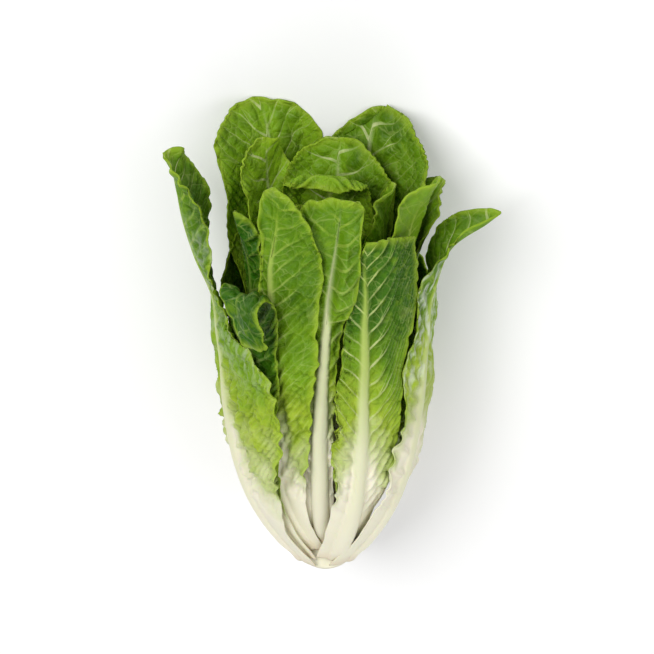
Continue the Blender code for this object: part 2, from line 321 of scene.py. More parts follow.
def attach_height(depth):
    """Outer leaves join the stem near its cut end, and inner leaves higher up."""
    return ATTACH_LOWEST + (1.0 - depth) * ATTACH_SPAN


def shell_radius(height, depth):
    """How far from the axis a shell of this depth runs at a height."""
    start = attach_height(depth)
    risen = 1.0 - np.exp(-(((height - start) / SHELL_RISE) ** SHELL_SHAPE))
    return stem_radius(start) + ATTACH_CLEARANCE + SHELL_GROWTH * depth * risen


def rib_places(leaf):
    """(height, radius) places of the rib: the shell part, then the leaf's own top."""
    start = attach_height(leaf.depth)
    heights = start + np.array(SHELL_STEPS)
    heights = heights[heights < leaf.top[0][0] - TOP_CLEARANCE]
    shell = np.column_stack((heights, shell_radius(heights, leaf.depth)))
    return np.vstack((shell, np.array(leaf.top, float)))


def along_curve(places, share):
    """The point at each share of a smooth curve through the places (cubic Hermite pieces)."""
    steps = np.linalg.norm(np.diff(places, axis=0), axis=1)
    knots = np.concatenate(((0.0,), np.cumsum(steps)))
    knots /= knots[-1]
    slopes = np.gradient(places, knots, axis=0)
    piece = np.clip(np.searchsorted(knots, share, side="right") - 1, 0, len(knots) - 2)
    width = knots[piece + 1] - knots[piece]
    u = ((share - knots[piece]) / width)[..., None]
    width = width[..., None]
    return (
        (1.0 + 2.0 * u) * (1.0 - u) ** 2 * places[piece]
        + u * (1.0 - u) ** 2 * width * slopes[piece]
        + u * u * (3.0 - 2.0 * u) * places[piece + 1]
        + u * u * (u - 1.0) * width * slopes[piece + 1]
    )


def leaf_outline(leaf, across, along, length):
    """Share of the length and distance from the rib of each grid point.

    The top edge is an arc, cut down on one side by skew, and the cut fades down the blade. The
    half width grows by a soft step from the base to its widest place and may have a waist. Both
    margins wander in and out as shallow lobes.
    """
    drop = leaf.arch * (leaf.left + leaf.right) / 2.0 / length
    rounding = 1.0 - np.sqrt(1.0 - (ARCH_ROUNDNESS * across) ** 2)
    slope = abs(leaf.skew) * np.maximum(-np.sign(leaf.skew) * across, 0.0) ** 1.2
    notches = NOTCH_SHARE * lattice_noise(across * 4.0 + 7.0, across * 0.0 + leaf.phase * 9.0, 6.0)
    share = along - (drop * rounding + slope + notches) * along**CUT_POWER
    full = np.where(across < 0.0, leaf.left, leaf.right)
    start = np.where(across < 0.0, 0.0, leaf.right_start)
    half = leaf.base + (full - leaf.base) * smooth((share - start) / (leaf.widest - start))
    half *= 1.0 - TOP_NARROWING * smooth((share - 0.75) / 0.25)
    waist_start, waist_end = leaf.waist_span
    waist = smooth((share - waist_start) / WAIST_RAMP) * smooth((waist_end - share) / WAIST_RAMP)
    half *= 1.0 - np.where(across < 0.0, leaf.waist_left, leaf.waist_right) * waist
    run = share * length
    lobes = lattice_noise(run / BROAD_LOBE, np.sign(across) * 3.0 + leaf.phase, 5.0)
    lobes += 0.5 * lattice_noise(run / SMALL_LOBE, np.sign(across) * 3.0 + leaf.phase, 8.0) - 0.75
    half += LOBE_DEPTH * lobes * smooth(share / 0.3) * np.abs(across) ** 3
    return share, across * half


def calm_side(leaf, across):
    """1 over the leaf, falling on the half that skew cuts short, which is less crinkled."""
    return 1.0 - CALM_SHARE * abs(leaf.skew) * np.maximum(-np.sign(leaf.skew) * across, 0.0)


def margin_waves(leaf, across, along, share, run):
    """How far the margins stand out: a slow ruffle, a quick frill and a roll of the top edges.

    The ruffle is a sine wave of the share, and the frill one of the run, whose pace and height
    wander. The frill is higher low on the blade. The roll grows as the square of a soft step.
    """
    free = smooth((share - FREE_FROM) / (1.0 - FREE_FROM))
    edge = 1.0 - (1.0 - np.abs(across) ** RUFFLE_EDGE) * (1.0 - along**10)
    wave = np.sin(2.0 * np.pi * leaf.waves * share + leaf.phase + RUFFLE_TWIST * across)
    ruffle = leaf.ruffle * edge * wave * smooth(share / RUFFLE_RAMP) * (1.0 + free)
    pace = FRILL_PACE * lattice_noise(run / FRILL_PACE_LENGTH, np.sign(across) * 2.0, leaf.phase + 4.0)
    beat = FRILL_BEAT * lattice_noise(run / FRILL_BEAT_LENGTH, np.sign(across) * 2.0, leaf.phase + 2.0)
    rim = np.maximum(np.abs(across) ** 4, 0.7 * along**30)
    lower = 1.0 + LOW_FRILL * smooth((0.6 - share) / 0.2)
    wave = np.sin(run * FRILL_RATE + pace + across * FRILL_TWIST)
    frill = leaf.frill * lower * rim * beat * wave
    frill = frill * smooth((share - FRILL_FROM) / 0.15) * calm_side(leaf, across)
    roll = leaf.roll * free * smooth((np.abs(across) - 0.7) / 0.3) ** 2
    return ruffle + frill + roll


def leaf_surface(leaf, across, along, thickness):
    """The middle of the blade, with each point's distance from the rib, share and run.

    The cross-section at a share is an arc of curvature 1/radius round the axis, changing to
    the leaf's own top_bend at its tip. A fold bends both halves back along the rib, and a flap
    moves the right half out within flap_span. What would sink below the floor is flattened.
    """
    places = rib_places(leaf)
    length = np.linalg.norm(np.diff(places, axis=0), axis=1).sum()
    share, side = leaf_outline(leaf, across, along, length)
    run = share * length
    place = along_curve(places, share)
    height, radius = place[..., 0], place[..., 1]
    free = smooth((share - FREE_FROM) / (1.0 - FREE_FROM))
    bend = (1.0 - free) / radius + free * leaf.top_bend
    bend = np.maximum(bend, LEAST_BEND)
    folded = leaf.fold * smooth((share - FOLD_FROM) / FOLD_RAMP)
    turn = side * bend
    sideways = np.sin(turn) / bend * np.sqrt(1.0 - folded**2)
    crease = np.hypot(side, FOLD_CREASE) - FOLD_CREASE
    outward = radius - (1.0 - np.cos(turn)) / bend - folded * crease
    outward = outward + margin_waves(leaf, across, along, share, run)
    first, last = leaf.flap_span
    window = smooth((share - first) / FLAP_RAMP) * smooth((last - share) / FLAP_RAMP)
    outward = outward + leaf.flap * smooth(across / FLAP_WIDTH) * window
    angle = np.radians(leaf.angle + leaf.lean * share**LEAN_POWER)
    points = np.stack((
        outward * np.sin(angle) + sideways * np.cos(angle),
        height,
        outward * np.cos(angle) - sideways * np.sin(angle),
    ), axis=-1)
    points[..., 2] = np.maximum(points[..., 2], thickness / 2.0 - FLOOR_DEPTH)
    return points, side, share, run


def outward_normals(points):
    """Unit normals of a grid of points, pointing away from the head."""
    down_rows, down_columns = np.gradient(points, axis=(0, 1))
    normals = np.cross(down_columns, down_rows)
    return normals / np.linalg.norm(normals, axis=-1, keepdims=True)


def leaf_faces(rows, columns):
    """Quads of a slab: its outer face, its inner face and its four edges."""
    grid = np.arange(rows * columns).reshape(rows, columns)
    a, b = grid[:-1, :-1].ravel(), grid[:-1, 1:].ravel()
    c, d = grid[1:, 1:].ravel(), grid[1:, :-1].ravel()
    outer = np.column_stack((a, b, c, d))
    inner = outer[:, ::-1] + rows * columns
    ring = np.concatenate((grid[0, :-1], grid[:-1, -1], grid[-1, :0:-1], grid[:0:-1, 0]))
    after = np.roll(ring, -1)
    edge = np.column_stack((ring, ring + rows * columns, after + rows * columns, after))
    return np.vstack((outer, inner, edge))


def vein_counts(leaf, side, run):
    """Two counts along the leaf whose whole numbers are the lines of its side veins.

    A vein leaves the rib and climbs with each millimetre outward, and more further out, so
    run - slope * |side| - bow * side^2 is the same all along it. Left and right veins alternate,
    and two noises bend them and vary their distance. In the second count each vein parts from
    the first one on its way out and ends half a spacing higher, as a fork.
    """
    away = np.abs(side)
    wander = VEIN_WANDER * (lattice_noise(run / 31.0, side / 14.0, leaf.phase * 7.0) - 0.5)
    wander += VEIN_SHAKE * (lattice_noise(run / 9.0, side / 6.0, leaf.phase * 8.0) - 0.5)
    climb = VEIN_CLIMB * leaf.vein_slope * away + VEIN_BOW * away**2
    count = (run - climb + wander) / leaf.vein_spacing + VEIN_STAGGER * (side > 0.0)
    parting = FORK_NEAREST + FORK_SPREAD * lattice_noise(run / 23.0, np.sign(side) * 5.0, leaf.phase)
    return count, count - 0.5 * smooth((away - parting) / FORK_LENGTH)


def blade_relief(leaf, across, side, share, run, counts, settings):
    """How far the blade sinks inwards at each point, in millimetres.

    A puff between the veins sinks as 1 - exp(-d^2) with the distance d to the nearest vein. The
    crinkles are the folds of a noise at its middle value and lie low on the blade. The swells
    are broad dents higher up. A negative depth stands out, as where the lower blade rises.
    """
    away = np.abs(side)
    blade = smooth((away - 2.0) / 5.0) * smooth((share - 0.16) / 0.16)
    nearest = np.minimum(*(np.abs(count - np.round(count)) for count in counts))
    puff = 1.0 - np.exp(-((nearest * leaf.vein_spacing / PUFF_WIDTH) ** 2))
    cells = lattice_noise(side / 6.0 + 9.0, run / 5.0, leaf.phase * 3.0 + 1.0)
    puffs = leaf.puffs * puff * (0.2 + 1.1 * cells)
    broad = lattice_noise(side / 6.5, run / 9.0, leaf.phase * 4.0 + 2.0)
    small = lattice_noise(side / 3.4, run / 4.4, leaf.phase * 4.0 + 3.0)
    fold = np.abs(2.0 * broad - 1.0) + SMALL_FOLDS * np.abs(2.0 * small - 1.0)
    crinkles = leaf.crinkle * (1.0 - fold) * smooth((FOLDS_END - share) / 0.25)
    fade = 1.0 - 0.6 * smooth((np.abs(across) - 0.85) / 0.15)
    fade = fade * calm_side(leaf, across)
    depths = puffs * settings.puff_height + crinkles * settings.crinkle_height
    relief = blade * fade * depths / MM
    swell = lattice_noise(side / 13.0 + 4.0, run / 24.0, leaf.phase * 6.0) - 0.5
    swells = settings.swell_height / MM * swell * smooth((share - SWELLS_FROM) / 0.25)
    return relief + swells - leaf.rise * blade * smooth((0.75 - share) / 0.2)


def rib_bulge(leaf, side, share):
    """Half the rib's width, and how far it stands out: height * (1 - (side / half)^2)^0.7."""
    half_rib = leaf.rib_width * (RIB_TIP_WIDTH + RIB_WIDENING * np.clip(1.0 - share**1.5, 0.0, 1.0))
    rib = np.clip(1.0 - (side / half_rib) ** 2, 0.0, 1.0)
    height = leaf.rib * (RIB_TIP_SHARE + (1.0 - RIB_TIP_SHARE) * (1.0 - share) ** 0.9)
    height *= (0.5 + 0.5 * smooth(share / RIB_START)) * smooth((1.0 - share) / 0.2)
    return half_rib, height * rib**0.7


def vein_ridge(leaf, away, share, count, settings):
    """How far the side veins stand out: height * exp(-(distance / width)^2).

    Both the height and the width shrink with the distance from the rib.
    """
    blade = smooth((away - 2.0) / 4.0) * smooth((share - 0.14) / 0.16)
    line = np.abs(count - np.round(count)) * leaf.vein_spacing
    vein = np.exp(-((line / (0.6 + 0.7 * np.exp(-away / 7.0))) ** 2))
    return settings.vein_height / MM * vein * blade * (0.25 + 0.75 * np.exp(-away / 12.0))


def leaf_shape(leaf, settings):
    """Outer and inner grids of one leaf, and what its material reads at each point.

    The middle of the blade is moved inwards by its relief. The outer face stands off it by half
    the thickness, the rib and the veins, and the inner face by half the thickness, a share of
    the rib and the flesh of the leaf's foot.
    """
    columns, rows = FINE_GRID if leaf.fine else PLAIN_GRID
    along, across = np.meshgrid(
        np.linspace(0.0, 1.0, rows + 1),
        np.sin(np.linspace(-GRID_SPREAD, GRID_SPREAD, columns + 1)) / np.sin(GRID_SPREAD),
        indexing="ij",
    )
    thickness = settings.blade_thickness / MM
    points, side, share, run = leaf_surface(leaf, across, along, thickness)
    normals = outward_normals(points)
    counts = vein_counts(leaf, side, run)
    away = np.abs(side)
    relief = blade_relief(leaf, across, side, share, run, counts, settings)
    middle = points - normals * relief[..., None]
    middle[..., 2] = np.maximum(middle[..., 2], thickness / 2.0 - FLOOR_DEPTH)
    normals = outward_normals(middle)
    half_rib, bulge = rib_bulge(leaf, side, share)
    ridge = vein_ridge(leaf, away, share, counts[0], settings)
    thin = thickness / 2.0 * (1.0 - 0.3 * smooth((np.abs(across) - 0.8) / 0.2))
    flesh = FLESH_DEPTH * smooth((FLESH_END - share) / 0.25) * (1.0 - across**2)
    outer = middle + normals * (thin + bulge + ridge)[..., None]
    inner = middle - normals * (thin + RIB_INNER_SHARE * bulge + flesh)[..., None]
    outer[..., 2] = np.maximum(outer[..., 2], -FLOOR_DEPTH)
    inner[..., 2] = np.maximum(inner[..., 2], 0.3 - FLOOR_DEPTH)
    noise = lattice_noise(side / 7.0 + 3.0, run / 12.0, leaf.phase * 5.0) - 0.5
    paler = 0.2 + 0.5 * smooth((0.55 - share) / 0.25)
    near_rib = np.exp(-away / 8.0) * paler * smooth((0.95 - share) / 0.3)
    readings = {
        "green": np.clip((share - leaf.green_from) / 0.6 + 0.22 * noise - near_rib, 0.0, 1.0),
        "rib": smooth((half_rib + 0.3 - away) / 1.8) * smooth((1.0 - share) / 0.15),
        "margin": np.maximum(smooth((np.abs(across) - 0.86) / 0.14), smooth((along - 0.975) / 0.025)),
        "share": share,
        "away": away / 40.0,
        # sunk: the depth of the relief, which the material darkens as painted shade
        "sunk": np.clip(relief / DEEPEST_RELIEF, 0.0, 1.0),
        "veins": counts[0],
        "forks": counts[1],
    }
    return outer, inner, readings, side, run


def add_piece(name, points, faces, material, readings, uv):
    """Put a mesh in the scene, with float attributes and a UV map for its material."""
    mesh = bpy.data.meshes.new(name)
    count, corners = faces.shape
    mesh.vertices.add(len(points))
    mesh.vertices.foreach_set("co", (points * MM).astype(np.float32).ravel())
    mesh.loops.add(count * corners)
    mesh.loops.foreach_set("vertex_index", faces.astype(np.int32).ravel())
    mesh.polygons.add(count)
    mesh.polygons.foreach_set("loop_start", np.arange(0, count * corners, corners, dtype=np.int32))
    mesh.update(calc_edges=True)
    mesh.polygons.foreach_set("use_smooth", np.ones(count, bool))
    for key, values in readings.items():
        attribute = mesh.attributes.new(key, "FLOAT", "POINT")
        attribute.data.foreach_set("value", values.astype(np.float32).ravel())
    layer = mesh.uv_layers.new(name="blade")
    layer.data.foreach_set("uv", uv[faces.ravel()].astype(np.float32).ravel())
    if mesh.validate():
        raise RuntimeError(name + " has faulty faces")
    mesh.materials.append(material)
    piece = bpy.data.objects.new(name, mesh)
    bpy.context.scene.collection.objects.link(piece)
    return piece


def head_offset():
    """Where the axis meets the cut end of the stem, in millimetres of the shared frame."""
    low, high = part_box("stem")
    return np.array(((low.x + high.x) / 2.0, low.y, (low.z + high.z) / 2.0)) / MM


def add_leaf(leaf, settings):
    """One leaf piece in place of its plain solid."""
    outer, inner, readings, side, run = leaf_shape(leaf, settings)
    rows, columns = side.shape
    points = np.vstack((outer.reshape(-1, 3), inner.reshape(-1, 3))) + head_offset()
    readings = {key: np.tile(values.ravel(), 2) for key, values in readings.items()}
    readings["inner"] = np.repeat((0.0, 1.0), rows * columns)
    uv = np.tile(np.column_stack((side.ravel(), run.ravel())) / UV_UNIT, (2, 1))
    material = leaf_material(leaf, settings)
    piece = add_piece(leaf.name + "_fine", points, leaf_faces(rows, columns), material, readings, uv)
    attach(piece, "root")
    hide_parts(leaf.name)


# The rib and veins are faint above this rib_green, and the veins pale from this vein_light
FAINT_ABOVE = 1.0
PALE_FROM = 0.9

# Colours that no setting changes
BLACK = (0.0, 0.0, 0.0, 1.0)
# The white of the painted glare on the outside of some bends
GLARE_WHITE = (0.72, 0.76, 0.68, 1.0)
BROWNED_FOOT = (0.6, 0.46, 0.32, 1.0)
BROWNED_CUT = (0.62, 0.43, 0.27, 1.0)
RING_TAN = (0.72, 0.62, 0.42, 1.0)


class Wires:
    """Short ways to add and join the nodes of one material."""

    def __init__(self, name):
        self.material = bpy.data.materials.new(name)
        self.material.use_nodes = True
        self.nodes = self.material.node_tree.nodes
        self.shader = self.nodes["Principled BSDF"]

    def join(self, value, socket):
        """Give a socket a number, a colour or the output of another node."""
        if isinstance(value, (int, float, tuple)):
            socket.default_value = value
        else:
            self.material.node_tree.links.new(value, socket)

    def read(self, name):
        """An attribute of the piece, through one node however often it is read."""
        if name not in self.nodes:
            node = self.nodes.new("ShaderNodeAttribute")
            node.name = name
            node.attribute_name = name
        return self.nodes[name].outputs["Fac"]

    def math(self, operation, first, second=0.0, clamp=False):
        node = self.nodes.new("ShaderNodeMath")
        node.operation = operation
        node.use_clamp = clamp
        self.join(first, node.inputs[0])
        self.join(second, node.inputs[1])
        return node.outputs[0]

    def times(self, first, second):
        return self.math("MULTIPLY", first, second)

    def span(self, value, low, high, to_low=0.0, to_high=1.0):
        """A soft step that carries low and high to to_low and to_high."""
        node = self.nodes.new("ShaderNodeMapRange")
        node.interpolation_type = "SMOOTHSTEP"
        self.join(value, node.inputs["Value"])
        self.join(low, node.inputs["From Min"])
        self.join(high, node.inputs["From Max"])
        self.join(to_low, node.inputs["To Min"])
        self.join(to_high, node.inputs["To Max"])
        return node.outputs["Result"]

    def mix(self, share, first, second):
        """The first colour moved by a share towards the second."""
        node = self.nodes.new("ShaderNodeMix")
        node.data_type = "RGBA"
        self.join(share, node.inputs[0])
        self.join(first, node.inputs[6])
        self.join(second, node.inputs[7])
        return node.outputs[2]

    def ramp(self, value, stops):
        """The colour at a value, between stops of (position, colour)."""
        node = self.nodes.new("ShaderNodeValToRGB")
        elements = node.color_ramp.elements
        while len(elements) < len(stops):
            elements.new(0.5)
        for element, (position, shade) in zip(elements, stops):
            element.position = position
            element.color = shade
        self.join(value, node.inputs["Fac"])
        return node.outputs["Color"]

    def uv(self, scale_across, scale_along):
        """The UV map of the piece, stretched across and along."""
        source = self.nodes.new("ShaderNodeUVMap")
        source.uv_map = "blade"
        mapping = self.nodes.new("ShaderNodeMapping")
        mapping.inputs["Scale"].default_value = (scale_across, scale_along, 1.0)
        self.join(source.outputs["UV"], mapping.inputs["Vector"])
        return mapping.outputs["Vector"]

    def noise(self, vector, scale, detail, output="Fac"):
        node = self.nodes.new("ShaderNodeTexNoise")
        node.inputs["Scale"].default_value = scale
        node.inputs["Detail"].default_value = detail
        self.join(vector, node.inputs["Vector"])
        return node.outputs[output]

    def warp(self, vector, scale, amount):
        """The vector pushed about by a noise."""
        push = self.nodes.new("ShaderNodeVectorMath")
        push.operation = "MULTIPLY_ADD"
        self.join(self.noise(vector, scale, 2.0, "Color"), push.inputs[0])
        push.inputs[1].default_value = (amount, amount, 0.0)
        self.join(vector, push.inputs[2])
        return push.outputs["Vector"]

    def cells(self, vector, scale):
        """The distance to the nearest edge of a pattern of cells."""
        node = self.nodes.new("ShaderNodeTexVoronoi")
        node.feature = "DISTANCE_TO_EDGE"
        node.inputs["Scale"].default_value = scale
        self.join(vector, node.inputs["Vector"])
        return node.outputs["Distance"]

    def bump(self, height, strength, distance, before=None):
        """A normal tilted by the slope of a height, on top of the bump before it."""
        node = self.nodes.new("ShaderNodeBump")
        node.inputs["Strength"].default_value = strength
        node.inputs["Distance"].default_value = distance
        self.join(height, node.inputs["Height"])
        if before is not None:
            self.join(before, node.inputs["Normal"])
        return node.outputs["Normal"]

    def soften(self, weight, radius, scale):
        """Let the light in under the surface."""
        self.shader.inputs["Subsurface Weight"].default_value = weight
        self.shader.inputs["Subsurface Radius"].default_value = radius
        self.shader.inputs["Subsurface Scale"].default_value = scale


def colour(red, green, blue):
    """A screen colour of 0 to 255 as the linear colour that the shaders take."""
    linear = [(part / 255.0 / 12.92) if part < 11 else ((part / 255.0 + 0.055) / 1.055) ** 2.4
              for part in (red, green, blue)]
    return (*linear, 1.0)


def faded(first, other, share):
    """The first colour moved by a share of the way towards the other one."""
    return tuple(a + (b - a) * share for a, b in zip(first, other))


def vein_lines(wires, count, width, soft):
    """1 along the lines where a count is whole, falling to 0 beside them."""
    off = wires.math("ABSOLUTE", wires.math("SUBTRACT", count, wires.math("ROUND", count)))
    return wires.span(off, width, wires.math("ADD", width, soft), 1.0, 0.0)


def palette(settings):
    """The cream, the lime, the light green and the deep green of the leaves."""
    chosen = (settings.base_colour, settings.lime_colour, settings.light_green, settings.deep_green)
    return tuple(tuple(shade) for shade in chosen)


def tissue(wires, leaf, settings, mottle):
    """The blade's own colour: cream, lime and then the green of the leaf's top.

    A mottling moves the places where it changes, and the sunk places get painted shade.
    """
    cream, lime, light, deep = palette(settings)
    green = wires.read("green")
    top = faded(light, deep, leaf.dark)
    shift = wires.times(wires.math("SUBTRACT", mottle, 0.5), 0.3)
    level = wires.math("ADD", green, wires.times(shift, wires.span(green, 0.0, 0.2)), clamp=True)
    blade = wires.ramp(level, (
        (0.0, cream),
        (0.2, faded(cream, lime, 0.55)),
        (0.48, lime),
        (0.76, faded(light, top, 0.4)),
        (1.0, top),
    ))
    # Painted shade: the sunk places are darkened towards a blackened deep green, more where the blade is
    # greener
    shade = wires.times(wires.read("sunk"), wires.span(green, 0.1, 0.75, 0.06, 0.8))
    return wires.mix(shade, blade, faded(deep, BLACK, 0.3))


def netted(wires, settings, mottle, patchy, nets, blade):
    """The blade with the pale threads of two nets of cells, and with lighter patches."""
    cream, lime, light = palette(settings)[:3]
    green = wires.read("green")
    net, fine_net = nets
    thread = wires.span(net, 0.0, 0.05, 0.3, 0.0)
    thread = wires.math("MAXIMUM", thread, wires.span(fine_net, 0.0, 0.06, 0.1, 0.0))
    thread = wires.times(wires.times(thread, patchy), green)
    blade = wires.mix(thread, blade, faded(lime, cream, 0.2))
    glow = wires.times(wires.span(mottle, 0.5, 0.72), wires.times(green, 0.35))
    return wires.mix(glow, blade, faded(light, lime, 0.35))


def veined(wires, leaf, settings, patchy, blade):
    """The blade with its side veins, which grow thinner and fainter away from the rib."""
    cream, lime, light = palette(settings)[:3]
    green, inner, away = wires.read("green"), wires.read("inner"), wires.read("away")
    width = wires.span(away, 0.0, 0.4, 0.05, 0.006)
    lines = vein_lines(wires, wires.read("veins"), width, 0.04)
    forks = wires.times(vein_lines(wires, wires.read("forks"), 0.006, 0.03), 0.75)
    lines = wires.math("MAXIMUM", lines, forks)
    most = 0.25
    if leaf.rib_green <= FAINT_ABOVE:
        most = wires.span(inner, 0.0, 1.0, leaf.vein_light, 0.95)
    strength = wires.times(wires.span(green, 0.02, 0.3, 0.1, most), patchy)
    strength = wires.times(strength, wires.span(away, 0.05, 0.55, 1.0, 0.3))
    pale = leaf.vein_light >= PALE_FROM
    outer_vein = faded(lime, cream, 0.2) if pale else faded(lime, light, 0.1)
    vein_top = wires.mix(inner, outer_vein, faded(lime, cream, 0.4))
    vein_colour = wires.mix(wires.read("share"), faded(cream, lime, 0.3), vein_top)
    return wires.mix(wires.times(lines, strength), blade, vein_colour)


def ribbed(wires, leaf, settings, blade):
    """The blade with its rib, cream low down and greener above, and with a lighter margin."""
    cream, lime, light = palette(settings)[:3]
    rib_top = faded(faded(cream, lime, 0.35), faded(lime, light, 0.5), min(leaf.rib_green, 1.0))
    rib_middle = faded(faded(cream, lime, 0.2), lime, min(leaf.rib_green, 1.0) * 0.75)
    rib_colour = wires.ramp(wires.read("share"), (
        (0.12, cream),
        (0.42, faded(cream, lime, 0.28)),
        (0.66, rib_middle),
        (1.0, rib_top),
    ))
    most = 0.92 if leaf.rib_green <= FAINT_ABOVE else 0.3
    blade = wires.mix(wires.times(wires.read("rib"), most), blade, rib_colour)
    edge = wires.times(wires.read("margin"), wires.span(wires.read("green"), 0.05, 0.35, 0.0, 0.7))
    return wires.mix(edge, blade, faded(lime, light, 0.25))


def glare_and_browned_foot(wires, leaf, blade):
    """The blade with patches of painted glare outside its bend, if any, and with a browned foot."""
    share = wires.read("share")
    # Painted glare: pale patches on the outside of the bend, where light glances off the blade
    if leaf.glare:
        band = wires.times(wires.span(share, 0.5, 0.62), wires.span(share, 0.78, 0.92, 1.0, 0.0))
        patches = wires.noise(wires.uv(1.0, 0.3), 34.0, 5.0)
        patches = wires.span(patches, 0.42, 0.66, 0.0, leaf.glare)
        outside = wires.span(wires.read("inner"), 0.0, 1.0, 1.0, 0.0)
        glare = wires.times(band, wires.times(patches, outside))
        blade = wires.mix(glare, blade, GLARE_WHITE)
    return wires.mix(wires.span(share, 0.0, 0.045, 0.4, 0.0), blade, BROWNED_FOOT)


def blade_normal(wires, leaf, flat, nets):
    """The blade's bumps: small puffs in the cells of the nets, long fibres and a fine grain."""
    net, fine_net = nets
    puff = wires.span(net, 0.0, 0.3, 0.0, 0.75)
    puff = wires.math("ADD", puff, wires.span(fine_net, 0.0, 0.3, 0.0, 0.25))
    relief = wires.times(puff, wires.span(wires.read("green"), 0.0, 0.35))
    relief = wires.times(relief, wires.math("SUBTRACT", 1.0, wires.read("rib")))
    relief = wires.times(relief, wires.span(wires.read("inner"), 0.0, 1.0, -1.0, 1.0))
    puffed = wires.bump(wires.times(relief, leaf.puffs), 0.8, 0.0008)
    fibres = wires.noise(wires.uv(60.0, 4.0), 4.0, 2.0)
    fibrous = wires.bump(fibres, 0.2, 0.0003, puffed)
    return wires.bump(wires.noise(flat, 120.0, 3.0), 0.15, 0.0003, fibrous)


def leaf_material(leaf, settings):
    """Cream at the base and on the rib, turning yellow-green and then green, with veins.

    Over the tissue, which holds painted shade in its sunk places, lie the threads of two nets,
    the side veins, the rib, a light margin, a painted glare on some leaves, and the browned foot.
    """
    wires = Wires(leaf.name + "_tissue")
    flat = wires.uv(1.0, 1.0)
    mottle = wires.noise(flat, 16.0, 4.0)
    patchy = wires.span(wires.noise(flat, 9.0, 2.0), 0.35, 0.65, 0.3, 1.0)
    bent = wires.warp(flat, 9.0, 0.05)
    nets = (wires.cells(bent, 13.0), wires.cells(bent, 34.0))
    blade = tissue(wires, leaf, settings, mottle)
    blade = netted(wires, settings, mottle, patchy, nets, blade)
    blade = veined(wires, leaf, settings, patchy, blade)
    blade = ribbed(wires, leaf, settings, blade)
    blade = glare_and_browned_foot(wires, leaf, blade)
    wires.join(blade, wires.shader.inputs["Base Color"])
    rough = wires.math("ADD", wires.times(mottle, 0.2), 0.34)
    wires.join(rough, wires.shader.inputs["Roughness"])
    wires.join(blade_normal(wires, leaf, flat, nets), wires.shader.inputs["Normal"])
    wires.shader.inputs["Specular IOR Level"].default_value = 0.15
    wires.soften(0.12, (0.5, 1.0, 0.15), 0.002)
    return wires.material


def stem_material(settings):
    """Cream flesh with a faintly browned cut face, a darker ring on it and a fine grain."""
    wires = Wires("stem_flesh")
    cream, lime = palette(settings)[:2]
    flat = wires.uv(1.0, 1.0)
    mottle = wires.noise(flat, 14.0, 4.0)
    flesh = wires.mix(wires.times(mottle, 0.3), cream, faded(cream, lime, 0.25))
    patches = wires.span(wires.noise(flat, 30.0, 3.0), 0.4, 0.7, 0.1, 0.5)
    flesh = wires.mix(wires.times(wires.read("cut"), patches), flesh, BROWNED_CUT)
    flesh = wires.mix(wires.times(wires.read("ring"), 0.45), flesh, RING_TAN)
    wires.join(flesh, wires.shader.inputs["Base Color"])
    wires.join(wires.span(mottle, 0.2, 0.8, 0.4, 0.6), wires.shader.inputs["Roughness"])
    wires.join(wires.bump(wires.noise(flat, 60.0, 3.0), 0.3, 0.0005), wires.shader.inputs["Normal"])
    wires.soften(0.15, (1.0, 0.8, 0.4), 0.003)
    return wires.material


def add_stem(settings):
    """The stem: a profile of (radius, height) carried once round the axis.

    The profile runs from the centre of the cut face to its rim, then up the tapering side to
    the tip. Ridges of cos(5 * turn) and cos(2 * turn) shape it a little.
    """
    face = np.linspace(0.02, 1.0, STEM_FACE)
    rim = STEM_RADIUS - STEM_CHAMFER
    face_heights = STEM_DIMPLE * (1.0 - face**3)
    climb = np.linspace(0.0, 1.0, STEM_ALONG) ** 1.1
    side_heights = STEM_SIDE_START + (STEM_LENGTH - STEM_SIDE_START) * climb
    radii = np.concatenate((face * rim, stem_radius(side_heights)))
    heights = np.concatenate((face_heights, side_heights))
    turn = 2.0 * np.pi * np.arange(STEM_AROUND) / STEM_AROUND
    wobble = 1.0 + 0.012 * np.cos(5.0 * turn) + 0.01 * np.cos(2.0 * turn + 1.0)
    x = radii[:, None] * wobble * np.sin(turn)
    z = radii[:, None] * wobble * np.cos(turn)
    rings = np.stack((x, np.repeat(heights[:, None], STEM_AROUND, axis=1), z), axis=-1)
    ends = ((0.0, STEM_DIMPLE, 0.0), (0.0, STEM_LENGTH, 0.0))
    points = np.vstack((rings.reshape(-1, 3), ends))
    count = len(radii)
    grid = np.arange(count * STEM_AROUND).reshape(count, STEM_AROUND)
    after = np.roll(grid, -1, axis=1)
    quads = np.stack((grid[:-1], after[:-1], after[1:], grid[1:]), axis=-1).reshape(-1, 4)
    low_end = np.full(STEM_AROUND, count * STEM_AROUND)
    fan_low = np.column_stack((low_end, after[0], grid[0]))
    fan_high = np.column_stack((low_end + 1, grid[-1], after[-1]))
    triangles = np.vstack((fan_low, fan_high, quads[:, (0, 1, 2)], quads[:, (0, 2, 3)]))
    share = np.concatenate((face, np.full(STEM_ALONG, 2.0)))
    cut = np.append(np.repeat(share <= 1.0, STEM_AROUND).astype(float), (1.0, 0.0))
    ring = np.exp(-(((share - RING_PLACE) / RING_WIDTH) ** 2))
    ring = np.append(np.repeat(ring, STEM_AROUND), (0.0, 0.0))
    wrapped = np.column_stack((np.tile(turn, count) * STEM_WRAP, np.repeat(heights, STEM_AROUND)))
    uv = np.where(cut[:-2, None] > 0.5, points[:-2, (0, 2)], wrapped)
    uv = np.vstack((uv, ((0.0, 0.0), (0.0, STEM_LENGTH)))) / UV_UNIT
    readings = {"cut": cut, "ring": ring}
    material = stem_material(settings)
    piece = add_piece("stem_fine", points + head_offset(), triangles, material, readings, uv)
    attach(piece, "root")
    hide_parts("stem")


def add_leaves(leaves, context):
    """The leaves of one group, for the operator that asks for them."""
    for leaf in leaves:
        add_leaf(leaf, context.scene.lettuce)
    return {"FINISHED"}


